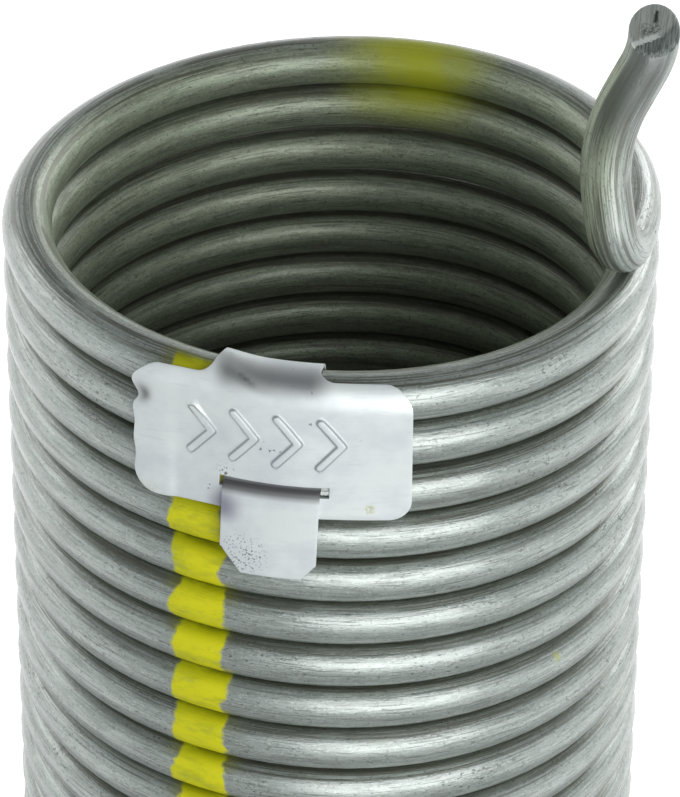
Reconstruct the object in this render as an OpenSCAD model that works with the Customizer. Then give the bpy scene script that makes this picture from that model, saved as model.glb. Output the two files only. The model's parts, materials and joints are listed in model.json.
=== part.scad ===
// Garage door torsion spring: one close-wound left-hand coil of round wire with a bent tail at
// each end, and a sheet tag hooked over its first turns. +Z runs along the coil's axis, the origin
// is on that axis at the level where the lower tail begins, and the tag faces -Y.

/* [Wire] */
// Diameter of the round spring wire
wire_d = 6; // [5:0.1:7]

/* [Coil] */
// Inside diameter of the coil, which a winding cone fits
coil_id = 67; // [60:1:90]
// Number of whole turns
turns = 60; // [20:1:80]
// Gap between neighbouring turns at rest
turn_gap = 0.16; // [0.1:0.02:0.6]

/* [Tails] */
// Angle by which the wire carries on round the coil before the tail's bend
tail_lead = 6.5; // [0:0.5:20]
// Middle radius of the bend that turns the wire from the coil to the axis direction
tail_bend_r = 4.2; // [4:0.1:8]
// Angle of that bend: over 90 the tail leans back over the coil
tail_bend = 108; // [80:1:112]
// Lean of the bend toward the inside of the coil
tail_inward = 17.5; // [0:0.5:20]
// Straight length between the bend and the swan neck
tail_foot = 2.6; // [1:0.2:10]
// Middle radius of the swan neck's outward curve
neck_out_r = 18.5; // [10:0.5:30]
// Angle of the swan neck's outward curve
neck_out = 38; // [10:1:45]
// Straight length in the middle of the swan neck
neck_run = 4.2; // [1:0.2:10]
// Middle radius of the swan neck's return curve
neck_back_r = 9.4; // [5:0.2:20]
// Angle of the swan neck's return curve
neck_back = 25.5; // [5:0.5:40]
// Straight length at the tip, up to the middle of the sheared end
tip_run = 0.7; // [0.5:0.1:15]
// Slant of the sheared end against a square cut
shear = 39; // [0:1:42]
// Direction in which the slant faces, round the wire
shear_turn = 104; // [0:1:180]

/* [Tag] */
// Thickness of the tag's sheet
sheet_t = 0.4; // [0.3:0.05:0.6]
// Width of the plate, measured round the coil
plate_w = 33; // [26:1:45]
// Height of the plate below the middle of the first turn
plate_drop = 14.5; // [13.5:0.5:17]
// Angle through which the plate's top edge rolls over the first turn
plate_roll = 58; // [30:1:70]
// Radius of the plate's corners
corner_r = 2.6; // [1:0.1:4]
// Play between the plate and the coil
plate_play = 0.3; // [0.2:0.05:0.5]
// Width of the tongue and of the tab at its end
tongue_w = 11.3; // [8:0.1:14]
// Distance from the plate's middle to the tongue's middle
tongue_shift = 0.6; // [-2:0.1:2]
// Number of turns that the tongue wraps
tag_turns = 2; // [2:1:2]
// Play on each side of the tongue where it passes between two turns
slit_play = 0.05; // [0.05:0.01:0.1]
// Middle radius of the tongue's bend inside the coil
inner_bend_r = 1; // [0.6:0.1:1.5]
// Angle at which the tongue slopes down to the slot
slope = 35; // [30:1:40]
// Middle radius of the bend from the slot into the tab
tab_bend_r = 0.8; // [0.6:0.05:1]
// Gap between the tab and the plate's face
tab_gap = 0.1; // [0.05:0.05:0.3]
// Straight length of the tab
tab_l = 11.2; // [6:0.1:14]
// Width of the slot past the tab's side
slot_extra = 1.3; // [0.5:0.1:2]
// Width and height of the bevel on the tab's left corner
bevel_left = [2.7, 3.5];
// Width and height of the bevel on the tab's right corner
bevel_right = [1.7, 2.1];
// Radius of the fillet between the tongue's left side and the plate's top edge
root_left = 3.3; // [1:0.1:3.5]
// Radius of the fillet between the tongue's right side and the plate's top edge
root_right = 1.6; // [1:0.1:3]

/* [Hidden] */
wire_fn = 32;
ring_fn = 96;
sheet_fn = 64;
wire_r = wire_d / 2;
mean_r = coil_id / 2 + wire_r;
pitch = wire_d + turn_gap;
half_rise = pitch / 2;
tilt = atan(half_rise / (2 * mean_r));
// The turns stand further apart where the tongue passes between them
tongue_gap = sheet_t + 2 * slit_play;
spread = max(0, tongue_gap - turn_gap);
spread_half = 2 * tag_turns;
half_turns = 2 * turns;
coil_h = turns * pitch + spread;
// Middle line of the tag's sheet, in radius and in height from the first turn's middle
fold_r = wire_r + plate_play + sheet_t / 2;
plate_r = mean_r + fold_r;
plate_top = fold_r * sin(plate_roll);
tongue_z = -(tag_turns - 1) * pitch - wire_r - tongue_gap / 2;
saddle_r = wire_r + slit_play + sheet_t / 2;
saddle_x = mean_r + plate_play;
tab_r = plate_r + sheet_t + tab_gap;
slope_x = saddle_x + saddle_r * sin(slope);
slope_z = tongue_z - saddle_r * (1 - cos(slope));
slope_run = (tab_r - tab_bend_r * (1 - sin(slope)) - slope_x) / cos(slope);
tab_z = slope_z - slope_run * sin(slope) - tab_bend_r * cos(slope);
slot_play = 0.2;
slot_top = slope_z - (plate_r - sheet_t / 2 - slope_x) * tan(slope) + sheet_t / 2 / cos(slope) + slot_play;
slot_bottom = tab_z + 0.1 * tab_bend_r;
// How much wider than the wire or the sheet a joint between two lengths of it is
joint = 1.002;
// Share of a corner's radius at which its round meets the edge, so that the two cross
meet = 0.97;
tongue_az = 90 + arc_deg(tongue_shift);
plate_half = arc_deg(plate_w / 2);
tongue_half = arc_deg(tongue_w / 2);

function arc_deg(w) = w / plate_r * 180 / PI;
function rise(j) = half_rise + (j == spread_half ? spread : 0);
function level(j) = coil_h - j * half_rise - (j > spread_half ? spread : 0);

// ---- wire: the local +Z is the way the wire runs ----

// A ball a hair wider than the wire, so that two lengths overlap where they meet end to end
module wire_joint() {
    sphere(d = joint * wire_d, $fn = wire_fn);
}

// Where a bend toward local +X stops
module past_bend(r, a) {
    translate([r, 0, 0]) rotate([0, a, 0]) translate([-r, 0, 0]) children();
}

// A bend toward local +X, with what follows it as children
module bend(r, a) {
    wire_joint();
    translate([r, 0, 0])
        rotate([90, 0, 0])
            rotate([0, 0, 180 - a])
                rotate_extrude(angle = a, $fn = ring_fn)
                    translate([r, 0]) circle(d = wire_d, $fn = wire_fn);
    past_bend(r, a) children();
}

// A straight length, with what follows it as children
module run(l) {
    wire_joint();
    cylinder(d = wire_d, h = l, $fn = wire_fn);
    translate([0, 0, l]) children();
}

// Half a turn that falls by h, from azimuth 0 round to 180. Its ends run level, so the next half
// turn carries on from it without a kink.
module half_turn(h) {
    arc_r = sqrt(mean_r * mean_r + h * h / 4);
    translate([0, 0, -h / 2])
        rotate([0, -atan(h / (2 * mean_r)), 0])
            rotate_extrude(angle = 180, $fn = ring_fn)
                translate([arc_r, 0]) circle(d = wire_d, $fn = wire_fn);
}

module coil() {
    for (j = [0 : half_turns - 1])
        translate([0, 0, level(j)]) rotate([0, 0, 180 * j]) half_turn(rise(j));
    // The steeper half turn meets its neighbours at an angle of its own
    for (j = [spread_half, spread_half + 1])
        translate([mean_r * cos(180 * j), 0, level(j)]) wire_joint();
}

// The upper tail: lead, bend to the axis direction, then a swan neck, sheared off at its tip
module tail() {
    translate([mean_r, 0, 0])
        rotate([90, 0, 0])
            rotate([0, 0, 180 - tilt])
                bend(mean_r / cos(tilt), tail_lead)
                    rotate([0, 0, tail_inward - 90])
                        bend(tail_bend_r, tail_bend)
                            run(tail_foot)
                                rotate([0, 0, -91])
                                    difference() {
                                        swan_neck();
                                        shear_cut();
                                    }
}

// The swan neck, with its last length left long for the shear
module swan_neck() {
    bend(neck_out_r, neck_out)
        run(neck_run)
            rotate([0, 0, 180])
                bend(neck_back_r, neck_back)
                    run(tip_run + wire_d);
}

// What the shear takes off
module shear_cut() {
    past_bend(neck_out_r, neck_out)
        translate([0, 0, neck_run])
            rotate([0, 0, 180])
                past_bend(neck_back_r, neck_back)
                    translate([0, 0, tip_run])
                        rotate([0, 0, shear_turn])
                            rotate([0, shear, 0])
                                translate([-2 * wire_d, -2 * wire_d, 0])
                                    cube([4 * wire_d, 4 * wire_d, 3 * wire_d]);
}

// The lower tail is the upper one turned over about the X axis
module spring_wire() {
    color([0.62, 0.65, 0.62]) {
        coil();
        translate([0, 0, coil_h]) tail();
        rotate([180, 0, 0]) tail();
    }
}

// ---- tag: drawn facing local azimuth 90, with z = 0 at the first turn's middle ----

// Part of a ring of sheet in section, from angle a0 to a1
module arc_strip(r, a0, a1) {
    reach = 2 * r + sheet_t;
    mid = (a0 + a1) / 2;
    intersection() {
        difference() {
            circle(r = r + sheet_t / 2, $fn = sheet_fn);
            circle(r = r - sheet_t / 2, $fn = sheet_fn);
        }
        polygon([
            [0, 0],
            reach * [cos(a0), sin(a0)],
            reach * [cos(mid), sin(mid)] * 1.5,
            reach * [cos(a1), sin(a1)]
        ]);
    }
}

// A dot a hair wider than the sheet, so that two lengths of a section overlap where they meet
module sheet_joint(x, z) {
    translate([x, z]) circle(d = joint * sheet_t, $fn = wire_fn);
}

// The sheet in section, from the plate's bottom edge up over the first turn, down inside the coil
// and out between two turns
module hook_section() {
    inner_x = mean_r - fold_r;
    bend_x = inner_x + inner_bend_r;
    bend_z = tongue_z + inner_bend_r;
    translate([plate_r - sheet_t / 2, -plate_drop]) square([sheet_t, plate_drop]);
    sheet_joint(plate_r, 0);
    translate([mean_r, 0]) arc_strip(fold_r, 0, 180);
    sheet_joint(inner_x, 0);
    translate([inner_x - sheet_t / 2, bend_z]) square([sheet_t, -bend_z]);
    sheet_joint(inner_x, bend_z);
    translate([bend_x, bend_z]) arc_strip(inner_bend_r, 180, 270);
    sheet_joint(bend_x, tongue_z);
    translate([bend_x, tongue_z - sheet_t / 2]) square([saddle_x - bend_x, sheet_t]);
    sheet_joint(saddle_x, tongue_z);
    translate([saddle_x, tongue_z - saddle_r]) arc_strip(saddle_r, 90 - slope, 90);
}

// The tongue's end in section: down through the slot, then flat in front of the plate
module tab_section() {
    sheet_joint(slope_x, slope_z);
    translate([slope_x, slope_z])
        rotate(-slope) translate([0, -sheet_t / 2]) square([slope_run, sheet_t]);
    sheet_joint(slope_x + slope_run * cos(slope), slope_z - slope_run * sin(slope));
    translate([tab_r - tab_bend_r, tab_z]) arc_strip(tab_bend_r, 0, 90 - slope);
    sheet_joint(tab_r, tab_z);
    translate([tab_r - sheet_t / 2, tab_z - tab_l]) square([sheet_t, tab_l]);
}

// All of that section beyond the plate's top edge, in outline
module beyond_plate() {
    inside = mean_r - 2 * fold_r;
    below = tongue_z - wire_r;
    front = plate_r - sheet_t;
    far = 2 * fold_r;
    polygon([
        [mean_r, 0],
        [mean_r + far * cos(plate_roll), far * sin(plate_roll)],
        [inside, far],
        [inside, below],
        [front, below],
        [front, -sheet_t]
    ]);
}

// A section swept round the coil's axis, from azimuth a0 to a1
module sweep(a0, a1) {
    rotate([0, 0, a0])
        rotate_extrude(angle = a1 - a0, $fn = 2 * ring_fn) children();
}

// An outline in (round the coil, height), cut through the sheet along the radius at azimuth a
module through_sheet(a) {
    rotate([0, 0, a])
        translate([plate_r - 2 * wire_d, 0, 0])
            rotate([90, 0, 90])
                linear_extrude(height = 4 * wire_d) children();
}

// What rounds off one corner of the plate; sides are +1 or -1
module corner_cut(side_u, side_z, z_edge) {
    back = asin(meet * corner_r / plate_r);
    through_sheet(90 + side_u * (plate_half - back))
        translate([0, z_edge - side_z * meet * corner_r])
            mirror([side_u < 0 ? 1 : 0, 0])
                mirror([0, side_z < 0 ? 1 : 0])
                    difference() {
                        square(corner_r + 1);
                        circle(r = corner_r, $fn = sheet_fn);
                    }
}

module slot_cut() {
    left = tongue_az - tongue_half - arc_deg(slot_play);
    right = tongue_az + tongue_half + arc_deg(slot_extra);
    sweep(left, right)
        translate([plate_r - sheet_t, slot_bottom]) square([2 * sheet_t, slot_top - slot_bottom]);
}

// A bevel across one lower corner of the tab
module bevel_cut(side_u, size) {
    over = 1;
    slant = size[1] / size[0];
    through_sheet(tongue_az + side_u * tongue_half)
        translate([0, tab_z - tab_l])
            mirror([side_u < 0 ? 1 : 0, 0])
                polygon([
                    [-size[0] - over / slant, -over],
                    [over, -over],
                    [over, size[1] + over * slant]
                ]);
}

// What narrows the plate to the tongue on one side, but for the fillet of radius r at its root
module side_cut(side_u, r) {
    edge = tongue_az + side_u * tongue_half;
    far = 90 + side_u * (plate_half + 1);
    root = edge + side_u * arc_deg(r);
    over = edge - side_u * arc_deg(sheet_t);
    edge_r = mean_r + fold_r * cos(plate_roll);
    difference() {
        sweep(min(edge, far), max(edge, far)) beyond_plate();
        difference() {
            sweep(min(over, root), max(over, root))
                translate([edge_r - r, 0]) square([2 * r, 2 * fold_r]);
            rotate([0, 0, edge])
                translate([edge_r - meet * r, side_u * meet * r, -1])
                    cylinder(r = r, h = 2 * fold_r + 2, $fn = sheet_fn);
        }
    }
}

// The plate, with its rounded corners and slot, and the tongue as far as the slot
module hook() {
    difference() {
        sweep(90 - plate_half, 90 + plate_half) hook_section();
        side_cut(-1, root_left);
        side_cut(1, root_right);
        for (u = [-1, 1]) {
            corner_cut(u, 1, plate_top);
            corner_cut(u, -1, -plate_drop);
        }
        slot_cut();
    }
}

module tab() {
    half = tongue_half - arc_deg(0.05 * sheet_t);
    difference() {
        sweep(tongue_az - half, tongue_az + half) tab_section();
        bevel_cut(-1, bevel_left);
        bevel_cut(1, bevel_right);
    }
}

module marking_tag() {
    color([0.84, 0.86, 0.9])
        translate([0, 0, level(1) - half_rise / 2])
            rotate([0, 0, 180])
                rotate([0, -tilt, 0]) {
                    hook();
                    tab();
                }
}

spring_wire();
marking_tag();
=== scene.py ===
# %% [markdown]
# # A garage door torsion spring, wound and dressed in Blender
#
# The real object is one long steel wire, wound turn on turn into a coil and bent up at each end,
# with a small aluminium tag hooked over its first turns. The solid model of both pieces is packed
# already, and this lesson gives them their looks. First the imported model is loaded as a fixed
# frame. Its bounds are kept, because what is made here has to stay inside them.

# %% Load the frame
import json
import math

import bmesh
import bpy
from mathutils import Matrix, Vector
from mathutils.geometry import delaunay_2d_cdt


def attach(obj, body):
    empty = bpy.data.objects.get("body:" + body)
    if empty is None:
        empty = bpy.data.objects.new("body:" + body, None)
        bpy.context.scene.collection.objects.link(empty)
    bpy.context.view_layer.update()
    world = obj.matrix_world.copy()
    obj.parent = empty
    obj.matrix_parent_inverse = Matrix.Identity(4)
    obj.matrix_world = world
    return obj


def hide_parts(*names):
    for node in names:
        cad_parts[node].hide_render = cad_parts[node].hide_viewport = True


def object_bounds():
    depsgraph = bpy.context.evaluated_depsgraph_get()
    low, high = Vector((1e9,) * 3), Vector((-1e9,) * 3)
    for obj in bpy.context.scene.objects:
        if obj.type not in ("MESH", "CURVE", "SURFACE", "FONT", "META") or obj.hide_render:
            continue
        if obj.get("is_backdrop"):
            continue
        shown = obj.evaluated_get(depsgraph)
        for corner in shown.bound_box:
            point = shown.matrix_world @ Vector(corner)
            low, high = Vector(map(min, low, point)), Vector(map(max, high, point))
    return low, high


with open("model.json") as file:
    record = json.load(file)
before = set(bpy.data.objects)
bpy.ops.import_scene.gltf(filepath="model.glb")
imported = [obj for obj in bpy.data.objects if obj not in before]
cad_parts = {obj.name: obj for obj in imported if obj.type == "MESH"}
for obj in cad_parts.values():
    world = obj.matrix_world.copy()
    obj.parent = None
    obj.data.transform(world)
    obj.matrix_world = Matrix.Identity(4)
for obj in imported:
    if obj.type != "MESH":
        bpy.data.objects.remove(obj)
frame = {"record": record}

MM = 0.001
solid_bounds = [[float(c) for c in corner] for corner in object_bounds()]
mounts = {m["name"]: m["pos_m"] for m in frame["record"]["mounts"]}
coil_top = mounts["upper_cone_seat"][2]
print("the coil's first turn starts", round(coil_top * 1000, 2), "mm above the last one's end")

# %% [markdown]
# ## The camera
#
# A long lens from about half a metre away looks down on the front of the spring, so the near rim,
# the far rim and the inside of the back wall all show. The camera's place comes from its target on
# the coil's axis, its distance, its elevation and its azimuth. A long lens keeps the turns nearly
# parallel, as the real ones look from there.

# %% Set the camera
CAMERA_AZIMUTH, CAMERA_ELEVATION, CAMERA_ROLL = 10.0, 33.322, 0.494
CAMERA_DISTANCE = 0.560
FOCAL_LENGTH, SENSOR_WIDTH = 205.25, 36.0
AIM_ACROSS, AIM_BELOW_TOP = 1.23 * MM, 29.15 * MM


def look_from(target, distance, azimuth, elevation, roll):
    """A camera matrix that looks at the target from an azimuth and elevation in degrees."""
    az, el, ro = (math.radians(a) for a in (azimuth, elevation, roll))
    forward = Vector((-math.sin(az) * math.cos(el), math.cos(az) * math.cos(el), -math.sin(el)))
    right = Vector((math.cos(az), math.sin(az), 0.0))
    up = right.cross(forward)
    side = math.cos(ro) * right + math.sin(ro) * up
    rise = math.cos(ro) * up - math.sin(ro) * right
    place = target - forward * distance
    return Matrix((
        (side.x, rise.x, -forward.x, place.x),
        (side.y, rise.y, -forward.y, place.y),
        (side.z, rise.z, -forward.z, place.z),
        (0.0, 0.0, 0.0, 1.0),
    ))


bpy.context.scene.view_settings.view_transform = "Standard"
across = Matrix.Rotation(math.radians(CAMERA_AZIMUTH), 3, "Z") @ Vector((AIM_ACROSS, 0.0, 0.0))
aim = across + Vector((0.0, 0.0, coil_top - AIM_BELOW_TOP))
camera_data = bpy.data.cameras.new("camera")
camera_data.lens, camera_data.sensor_width = FOCAL_LENGTH, SENSOR_WIDTH
camera_data.clip_start, camera_data.clip_end = 0.01, 100.0
camera = bpy.data.objects.new("camera", camera_data)
bpy.context.scene.collection.objects.link(camera)
camera.matrix_world = look_from(aim, CAMERA_DISTANCE, CAMERA_AZIMUTH, CAMERA_ELEVATION, CAMERA_ROLL)
bpy.context.scene.camera = camera
print("camera at", [round(c, 3) for c in camera.matrix_world.translation])

# %% [markdown]
# ## Small helpers for node trees
#
# Every finish and the Geometry Nodes tree are built from the same few moves: add a node, link a
# value into it, and do one step of arithmetic. Each could be written out node by node, but short
# helpers keep the recipes readable. The others follow where they are first needed.

# %% Add, link and calculate
def put(tree, kind, **settings):
    """A new node with its plain settings made."""
    node = tree.nodes.new(kind)
    for name, value in settings.items():
        setattr(node, name, value)
    return node


def feed(tree, socket, value):
    """Links a socket's source, or types in a plain value."""
    if isinstance(value, bpy.types.NodeSocket):
        tree.links.new(value, socket)
    else:
        socket.default_value = value


def calc(tree, operation, *values):
    """One step of arithmetic; returns its result's socket."""
    node = put(tree, "ShaderNodeMath", operation=operation)
    for socket, value in zip(node.inputs, values):
        feed(tree, socket, value)
    return node.outputs[0]


def chain(tree, operation, first, *others):
    """The same step of arithmetic again and again, such as the product of many values."""
    for value in others:
        first = calc(tree, operation, first, value)
    return first


def product(tree, *values):
    return chain(tree, "MULTIPLY", *values)


def total_of(tree, *values):
    return chain(tree, "ADD", *values)


print("helpers for node trees ready")

# %% [markdown]
# ## What gloss sees
#
# A small glossy object shows the studio round it. Behind and beside it stand the white floor and
# backdrop, which draw a bright rim along each turn, while the dim side of the room, where the lens
# stands, keeps the front of the wire grey. Both the floor and the room need the same two values
# for this: the bearing of a place from the lens's side, and a share of white for each kind of ray.

# %% Bearings and rays
def highest(tree, *values):
    return chain(tree, "MAXIMUM", *values)


def axes_of(tree, vector):
    """The X, Y and Z sockets of a vector."""
    node = put(tree, "ShaderNodeSeparateXYZ")
    feed(tree, node.inputs[0], vector)
    return node.outputs["X"], node.outputs["Y"], node.outputs["Z"]


def from_lens(tree, place):
    """A place turned so that the lens is along -Y, and its bearing from there in radians."""
    node = put(tree, "ShaderNodeMapping")
    feed(tree, node.inputs["Vector"], place)
    node.inputs["Rotation"].default_value = (0.0, 0.0, math.radians(-CAMERA_AZIMUTH))
    x, y, _ = axes_of(tree, node.outputs[0])
    bearing = calc(tree, "ABSOLUTE", calc(tree, "ARCTAN2", x, product(tree, y, -1.0)))
    return node.outputs[0], bearing


def seen_white(tree, share):
    """1 for the camera's rays, the share for rays of gloss and glass, and 0 for the others."""
    rays = put(tree, "ShaderNodeLightPath").outputs
    mirrored = highest(tree, rays["Is Glossy Ray"], rays["Is Transmission Ray"])
    return highest(tree, rays["Is Camera Ray"], product(tree, share, mirrored))


print("the lens is at azimuth", CAMERA_AZIMUTH, "degrees")

# %% [markdown]
# ## The floor
#
# The spring stands over a sheet of pale card. It could be lit until it is white, but that light
# would also wash out the zinc. So its own colour stays a mid grey, which keeps a soft shadow, and
# a plain glow is added that only the camera and the gloss see.

# %% Lay the floor
def ramp(tree, value, low, high):
    """0 below low, 1 above high, and a soft step between them."""
    node = put(tree, "ShaderNodeMapRange", clamp=True, interpolation_type="SMOOTHSTEP")
    feed(tree, node.inputs["Value"], value)
    node.inputs["From Min"].default_value = low
    node.inputs["From Max"].default_value = high
    return node.outputs["Result"]


def mix_shaders(tree, share, first, second):
    node = put(tree, "ShaderNodeMixShader")
    for socket, value in zip(node.inputs, (share, first.outputs[0], second.outputs[0])):
        feed(tree, socket, value)
    return node


def clean_tree(owner):
    """The empty node tree of a material or world, and where its surfaces lie or look."""
    owner.use_nodes = True
    owner.node_tree.nodes.clear()
    return owner.node_tree, put(owner.node_tree, "ShaderNodeTexCoord")


FLOOR_GAP, FLOOR_RADIUS = 0.0002, 12.0
FLOOR_GREY, FLOOR_GLOW = 0.5, 0.9

floor_level = min(solid_bounds[0][2], 0.0) - FLOOR_GAP
floor_mesh = bpy.data.meshes.new("floor")
sheet = bmesh.new()
bmesh.ops.create_circle(sheet, cap_ends=True, radius=FLOOR_RADIUS, segments=96,
                        matrix=Matrix.Translation((0.0, 0.0, floor_level)))
sheet.to_mesh(floor_mesh)
sheet.free()
floor = bpy.data.objects.new("floor", floor_mesh)
bpy.context.scene.collection.objects.link(floor)
floor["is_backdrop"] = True

floor_finish = bpy.data.materials.new("floor_white")
tree, place = clean_tree(floor_finish)
spot, bearing = from_lens(tree, place.outputs["Object"])
away = put(tree, "ShaderNodeVectorMath", operation="LENGTH")
feed(tree, away.inputs[0], spot)
beside_lens = total_of(tree, 0.12, product(tree, 0.88, ramp(tree, bearing, 0.8, 1.4)))
clear_floor = product(tree, ramp(tree, away.outputs["Value"], 0.3, 0.55), beside_lens)
pale = put(tree, "ShaderNodeBsdfDiffuse")
pale.inputs["Color"].default_value = (FLOOR_GREY, FLOOR_GREY, FLOOR_GREY, 1.0)
glow, unlit = (put(tree, "ShaderNodeEmission") for _ in range(2))
glow.inputs["Color"].default_value = (1.0, 1.0, 1.0, 1.0)
glow.inputs["Strength"].default_value = FLOOR_GLOW
unlit.inputs["Color"].default_value = (0.0, 0.0, 0.0, 1.0)
lift = mix_shaders(tree, seen_white(tree, clear_floor), unlit, glow)
white = put(tree, "ShaderNodeAddShader")
feed(tree, white.inputs[0], pale.outputs[0])
feed(tree, white.inputs[1], lift.outputs[0])
feed(tree, put(tree, "ShaderNodeOutputMaterial").inputs["Surface"], white.outputs[0])
floor_mesh.materials.append(floor_finish)
print("floor at", round(floor_level * 1000, 2), "mm")

# %% [markdown]
# ## The room
#
# The room itself gives most of the light. It is pale and a little cool at the sides and the back,
# and dims towards the zenith and the lens, as a real studio does. The camera sees plain white
# there, and gloss sees the white backdrop up to some height above the horizon.

# %% Light the room
def without(tree, share):
    """What a share leaves: 1 minus the share."""
    return calc(tree, "SUBTRACT", 1.0, share)


def fade(tree, value, low, high):
    """1 below low, 0 above high, and a soft step between them."""
    return without(tree, ramp(tree, value, low, high))


def blend_colours(tree, share, first, second, how="MIX"):
    """Two colours mixed by a share; each may be three plain numbers or a socket."""
    node = put(tree, "ShaderNodeMix", data_type="RGBA", blend_type=how)
    feed(tree, node.inputs["Factor"], share)
    for socket, value in ((node.inputs[6], first), (node.inputs[7], second)):
        feed(tree, socket, (*value, 1.0) if isinstance(value, tuple) else value)
    return node.outputs[2]


ROOM_STRENGTH = 1.15
HORIZON, ZENITH = (0.95, 0.98, 1.0), (0.15, 0.15, 0.15)

world = bpy.data.worlds.new("studio")
bpy.context.scene.world = world
tree, place = clean_tree(world)
direction, bearing = from_lens(tree, place.outputs["Generated"])
height = axes_of(tree, direction)[2]
backdrop_seen = product(tree, ramp(tree, bearing, 1.0, 1.5), fade(tree, height, 0.05, 0.45))
room, backdrop = (put(tree, "ShaderNodeBackground") for _ in range(2))
feed(tree, room.inputs["Color"],
     blend_colours(tree, ramp(tree, height, 0.15, 0.72), HORIZON, ZENITH))
feed(tree, room.inputs["Strength"],
     product(tree, ROOM_STRENGTH,
             total_of(tree, 0.5, product(tree, 0.5, ramp(tree, bearing, 0.8, 1.5)))))
backdrop.inputs["Color"].default_value = (1.0, 1.0, 1.0, 1.0)
backdrop.inputs["Strength"].default_value = 1.0
both = mix_shaders(tree, seen_white(tree, backdrop_seen), room, backdrop)
feed(tree, put(tree, "ShaderNodeOutputWorld").inputs["Surface"], both.outputs[0])
print("the room has a strength of", ROOM_STRENGTH)

# %% [markdown]
# ## The lamps
#
# Round wire shows a small lamp as a hard line, and a broad one as a soft band. So one broad lamp
# stands in front, a little to the right, and two faint ones behind. They hang at a plain level, so
# each colour renders about as it is written.

# %% Hang the lamps
LAMP_AIM_BELOW_TOP = 0.03


def hang_lamp(name, azimuth, elevation, distance, size, power):
    """A soft rectangular lamp, aimed at the top of the coil."""
    lamp_data = bpy.data.lights.new(name, "AREA")
    lamp_data.shape = "RECTANGLE"
    lamp_data.size, lamp_data.size_y = size
    lamp_data.energy = power
    lamp = bpy.data.objects.new(name, lamp_data)
    bpy.context.scene.collection.objects.link(lamp)
    lamp_aim = Vector((0.0, 0.0, coil_top - LAMP_AIM_BELOW_TOP))
    lamp.matrix_world = look_from(lamp_aim, distance, CAMERA_AZIMUTH + azimuth, elevation, 0.0)
    print(name, "of", power, "W, turned", azimuth, "degrees from the lens")


hang_lamp("lamp_front", 24, 15, 1.3, (1.4, 1.25), 15)
hang_lamp("lamp_back_left", -118, 22, 1.5, (1.0, 0.8), 3)
hang_lamp("lamp_back_right", 140, 22, 1.5, (1.0, 0.8), 6)

# %% [markdown]
# ## The wire's route
#
# A real spring is wound on a mandrel from one straight wire, and its two ends are then bent up.
# Here the route of the wire's middle comes first. It could be drawn by hand as a curve, but the
# sizes below give every point of it, so it stays true to the solid model.

# %% Sizes of the wire and the coil
WIRE_D = 6.0 * MM                    # the wire's width
MEAN_R = 36.5 * MM                   # from the coil's axis to the wire's middle
FALL = 6.16 * MM                     # the drop of one turn
SPREAD, SPREAD_HALF = 0.34 * MM, 4   # a further drop, and the half turn that has it
TURNS = 60
TILT = math.degrees(math.atan(FALL / 2 / (2 * MEAN_R)))
SHEAR, SHEAR_TURN = 39.0, 104.0      # the cut's slant, and where it faces
assert abs(TURNS * FALL + SPREAD - coil_top) < 1e-6
print("tilt of a half turn", round(TILT, 3), "degrees")

# %% [markdown]
# ## The tails
#
# The wire leaves the last turn in a tight bend, rises in a swan neck and ends in a slanted cut. A
# tail is laid bend by bend here, each one starting where the last one stopped, just as a bending
# tool works along the wire. The lower tail is the upper one turned over.

# %% Lay the tails
# The wire's turn about itself before a bend in degrees, the bend's radius, its degrees and its
# steps, and the straight run after it and its steps.
TAIL_BENDS = (
    (0.0, MEAN_R / math.cos(math.radians(TILT)), 6.5, 2, 0.0, 0),
    (17.5 - 90, 4.2 * MM, 108.0, 24, 2.6 * MM, 3),
    (-91, 18.5 * MM, 38.0, 16, 4.2 * MM, 4),
    (180, 9.4 * MM, 25.5, 8, 5.0 * MM, 7),
)
CUT_AFTER_BEND = 0.7 * MM


def turned(axis, degrees):
    return Matrix.Rotation(math.radians(degrees), 4, axis)


def lay_bend(place, route, radius, degrees, steps):
    """Adds a bend's points to the route and returns the place where it stops."""
    for k in range(1, steps + 1):
        t = math.radians(degrees) * k / steps
        route.append(place @ Vector((radius * (1 - math.cos(t)), 0.0, radius * math.sin(t))))
    centre = Matrix.Translation((radius, 0.0, 0.0))
    return place @ centre @ turned("Y", degrees) @ centre.inverted()


def lay_run(place, route, length, steps):
    """Adds a straight length's points and returns the place where it stops."""
    for k in range(1, steps + 1):
        route.append(place @ Vector((0.0, 0.0, length * k / steps)))
    return place @ Matrix.Translation((0.0, 0.0, length))


def lay_tail():
    """The upper tail's route from the coil to past its tip, and the place of the tip."""
    route = []
    place = Matrix.Translation((MEAN_R, 0.0, coil_top)) @ turned("X", 90) @ turned("Z", 180 - TILT)
    for roll, radius, degrees, bend_steps, length, run_steps in TAIL_BENDS:
        place = lay_bend(place @ turned("Z", roll), route, radius, degrees, bend_steps)
        tip = place @ Matrix.Translation((0.0, 0.0, CUT_AFTER_BEND))
        place = lay_run(place, route, length, run_steps)
    return route, tip


upper_tail, upper_tip = lay_tail()
turn_over = turned("X", 180) @ Matrix.Translation((0.0, 0.0, -coil_top))
lower_tail = [turn_over @ point for point in upper_tail]
lower_tip = turn_over @ upper_tip
tip_height = upper_tip.translation.z - coil_top
print("the tip is", round(tip_height * 1000, 1), "mm above the coil's start")

# %% [markdown]
# ## One line for the whole wire
#
# For the coil the route only carries each point's winding angle, because a rule in Geometry Nodes
# places those points. The first turns are seen closely and get more points than those far down.

# %% Join the tails to the coil's winding angles
FINE_TURNS, FINE_STEPS, PLAIN_STEPS = 14, 80, 48

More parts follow.
